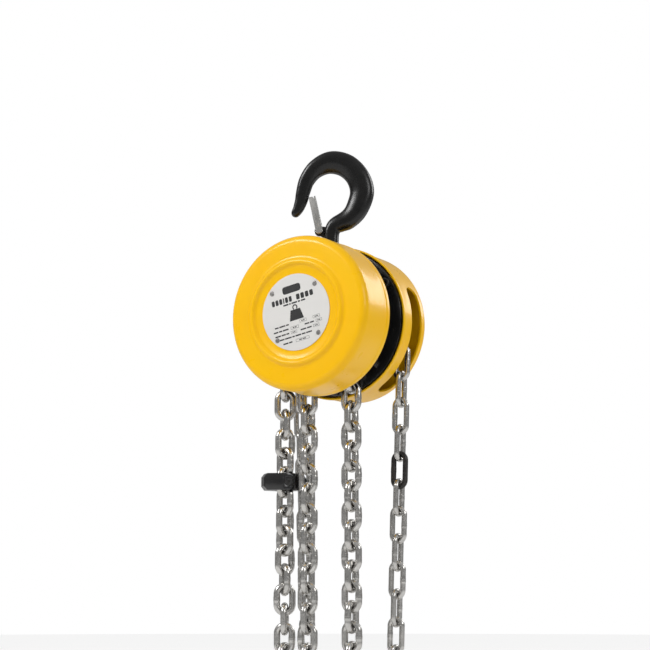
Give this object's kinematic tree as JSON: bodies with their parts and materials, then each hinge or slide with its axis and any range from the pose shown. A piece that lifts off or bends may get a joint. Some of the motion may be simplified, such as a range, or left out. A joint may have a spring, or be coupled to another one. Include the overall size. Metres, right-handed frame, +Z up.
{
  "type": "hand chain hoist",
  "caption": "Hand-operated chain hoist with round drum covers, latched top and bottom hooks, load chain, endless hand chain and a limit stop.",
  "frame": {"origin": "the seat of the top hook, where it hangs from its support, on the hook swivel axis", "axes": "+Z up; +Y along the sheave axis towards the hand wheel cover; +X towards the lifting run of the load chain"},
  "size_m": [0.144, 0.1258, 0.619],
  "materials": {
    "yellow": "gloss powder coat",
    "black": "gloss black paint",
    "forged_black": "satin black over forging scale",
    "zinc_link": "zinc plated, slightly worn",
    "dark_link": "blackened steel",
    "zinc_part": "bright zinc plate",
    "gear_steel": "oiled machined steel",
    "bronze": "oiled bearing bronze",
    "cast": "cast, oiled",
    "label": "printed sheet",
    "rivet": "bright",
    "friction": "asbestos-free friction lining",
    "spring_steel": "bright wire",
    "screw": "black oxide",
    "inner_sheet": "grey primer"
  },
  "bodies": {
    "top_hook": {"top_hook": "forged_black", "top_hook_nut": "gear_steel", "top_thrust_washer": "gear_steel", "top_latch_pin": "zinc_part", "top_latch_spring": "spring_steel"},
    "top_yoke": {"top_yoke": "forged_black"},
    "frame": {"gear_cover": "yellow", "nameplate": "label", "nameplate_rivets": "rivet", "cover_screws": "screw", "gear_side_plate": "black", "wheel_side_plate": "black", "stay_bolts": "zinc_part", "stay_nuts": "zinc_part", "sheave_bearings": "bronze", "gearcase": "inner_sheet", "inner_cover_screws": "zinc_part", "gear_bushes": "bronze", "pawl_pins": "gear_steel", "pawl_spring_upper": "spring_steel", "pawl_spring_lower": "spring_steel", "brake_cover": "inner_sheet", "wheel_cover": "yellow", "guide_roller_pins": "gear_steel", "chain_stripper": "cast", "chain_anchor_pin": "gear_steel", "suspension_pin": "gear_steel", "suspension_pin_clip": "spring_steel", "load_chain_over_sheave": "zinc_link", "load_chain_lifting_run": "zinc_link", "load_chain_slack_run": "zinc_link", "hand_chain_over_wheel": "zinc_link", "hand_chain_runs": "zinc_link", "hand_chain_joining_link": "dark_link", "limit_stop_halves": "black", "limit_stop_bolt": "screw"},
    "top_latch": {"top_latch": "zinc_part"},
    "sheave": {"load_sheave": "cast", "load_gear": "gear_steel"},
    "intermediate_left": {"intermediate_gear_left": "gear_steel"},
    "intermediate_right": {"intermediate_gear_right": "gear_steel"},
    "drive": {"drive_shaft": "gear_steel", "friction_hub": "gear_steel", "friction_discs": "friction", "hand_wheel": "cast", "castle_nut": "zinc_part", "split_pin": "zinc_part"},
    "ratchet": {"ratchet_disc": "gear_steel"},
    "upper_pawl": {"pawl_upper": "gear_steel"},
    "lower_pawl": {"pawl_lower": "gear_steel"},
    "left_roller": {"guide_roller_left": "gear_steel"},
    "right_roller": {"guide_roller_right": "gear_steel"},
    "bottom_yoke": {"bottom_yoke": "forged_black", "chain_pin": "gear_steel"},
    "bottom_hook": {"bottom_hook": "forged_black", "bottom_hook_nut": "gear_steel", "bottom_thrust_washer": "gear_steel", "bottom_latch_pin": "zinc_part", "bottom_latch_spring": "spring_steel"},
    "bottom_latch": {"bottom_latch": "zinc_part"}
  },
  "joints": [
    {"name": "top_hook_swivel", "type": "hinge", "parent": "top_hook", "child": "top_yoke", "pos_m": [0, 0, -0.0714], "axis": [0, 0, 1], "continuous": true},
    {"name": "frame_swing", "type": "hinge", "parent": "top_yoke", "child": "frame", "pos_m": [0, 0, -0.0984], "axis": [0, 1, 0], "range_deg": [-25, 25]},
    {"name": "top_latch_hinge", "type": "hinge", "parent": "top_hook", "child": "top_latch", "pos_m": [-0.00997, -0.00465, -0.0558], "axis": [-0.4226, 0.9063, 0], "range_deg": [0, 32], "stiffness_Nm_per_rad": 0.012, "springref_deg": -17.19, "deforming": ["top_latch_spring"]},
    {"name": "sheave_turn", "type": "hinge", "parent": "frame", "child": "sheave", "pos_m": [-0.002, 0, -0.1414], "axis": [0, 1, 0], "continuous": true, "deforming": ["load_chain_over_sheave"]},
    {"name": "intermediate_left_turn", "type": "hinge", "parent": "frame", "child": "intermediate_left", "pos_m": [-0.03325, 0, -0.1414], "axis": [0, 1, 0], "continuous": true},
    {"name": "intermediate_right_turn", "type": "hinge", "parent": "frame", "child": "intermediate_right", "pos_m": [0.02925, 0, -0.1414], "axis": [0, 1, 0], "continuous": true},
    {"name": "drive_turn", "type": "hinge", "parent": "frame", "child": "drive", "pos_m": [-0.002, 0, -0.1414], "axis": [0, 1, 0], "continuous": true, "deforming": ["hand_chain_over_wheel"]},
    {"name": "ratchet_turn", "type": "hinge", "parent": "frame", "child": "ratchet", "pos_m": [-0.002, 0, -0.1414], "axis": [0, -1, 0], "range_deg": [-1.6, 1.6]},
    {"name": "upper_pawl_lift", "type": "hinge", "parent": "frame", "child": "upper_pawl", "pos_m": [0.03228, 0, -0.10998], "axis": [0, 1, 0], "range_deg": [0, 16], "stiffness_Nm_per_rad": 0.02, "springref_deg": -17.19, "deforming": ["pawl_spring_upper"]},
    {"name": "lower_pawl_lift", "type": "hinge", "parent": "frame", "child": "lower_pawl", "pos_m": [-0.03628, 0, -0.17281], "axis": [0, 1, 0], "range_deg": [0, 16], "stiffness_Nm_per_rad": 0.02, "springref_deg": -17.19, "deforming": ["pawl_spring_lower"]},
    {"name": "left_roller_turn", "type": "hinge", "parent": "frame", "child": "left_roller", "pos_m": [-0.03964, 0, -0.12385], "axis": [0, 1, 0], "continuous": true},
    {"name": "right_roller_turn", "type": "hinge", "parent": "frame", "child": "right_roller", "pos_m": [0.03564, 0, -0.12385], "axis": [0, 1, 0], "continuous": true},
    {"name": "bottom_yoke_swing", "type": "hinge", "parent": "frame", "child": "bottom_yoke", "pos_m": [0.02103, 0, -0.47093], "axis": [0, 1, 0], "range_deg": [-30, 30]},
    {"name": "bottom_hook_swivel", "type": "hinge", "parent": "bottom_yoke", "child": "bottom_hook", "pos_m": [0.02103, 0, -0.50543], "axis": [0, 0, 1], "continuous": true},
    {"name": "bottom_latch_hinge", "type": "hinge", "parent": "bottom_hook", "child": "bottom_latch", "pos_m": [0.03203, 0, -0.52103], "axis": [0, 1, 0], "range_deg": [0, 32], "stiffness_Nm_per_rad": 0.012, "springref_deg": -17.19, "deforming": ["bottom_latch_spring"]}
  ],
  "couplings": [
    {"joint": "intermediate_left_turn", "follows": "sheave_turn", "ratio": -4},
    {"joint": "intermediate_right_turn", "follows": "sheave_turn", "ratio": -4},
    {"joint": "drive_turn", "follows": "sheave_turn", "ratio": 16}
  ]
}
